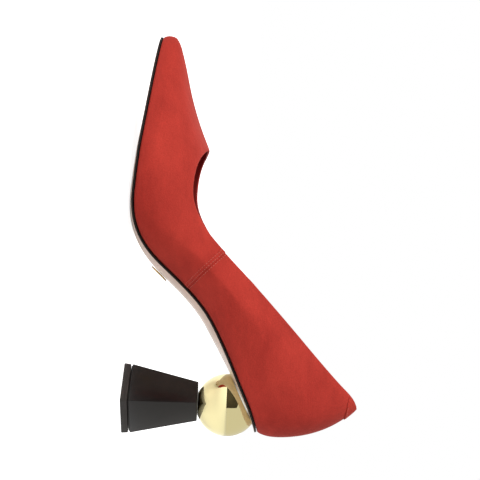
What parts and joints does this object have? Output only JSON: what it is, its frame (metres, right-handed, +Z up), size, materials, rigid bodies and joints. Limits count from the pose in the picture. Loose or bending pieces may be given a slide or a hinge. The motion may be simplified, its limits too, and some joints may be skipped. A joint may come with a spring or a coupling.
{
  "type": "high heel shoe",
  "caption": "Left pointed-toe pump: hollow suede upper, padded insole, thin sole, and a high heel of a mirror ball on a dark faceted block.",
  "frame": {"origin": "on the floor, below the middle of the whole shoe's box", "axes": "+Z up; the toe points along -X and the heel along +X; the outer side of the foot faces -Y and the inner side +Y"},
  "size_m": [0.245, 0.08, 0.1435],
  "materials": {
    "suede": "brushed suede nap, matt",
    "sock": "smooth padded leather, satin",
    "sole_leather": "smooth nude sole leather, black painted edge",
    "gold_plating": "mirror-polished pale gold plating",
    "heel_lacquer": "black, satin gloss",
    "heel_tip": "hard rubber, matt"
  },
  "bodies": {
    "root": {"upper": "suede", "back_tab": "suede", "insole": "sock", "outsole": "sole_leather", "sole_plate": "gold_plating", "heel_ball": "gold_plating", "heel_block": "heel_lacquer", "heel_lift": "heel_tip"}
  },
  "joints": []
}
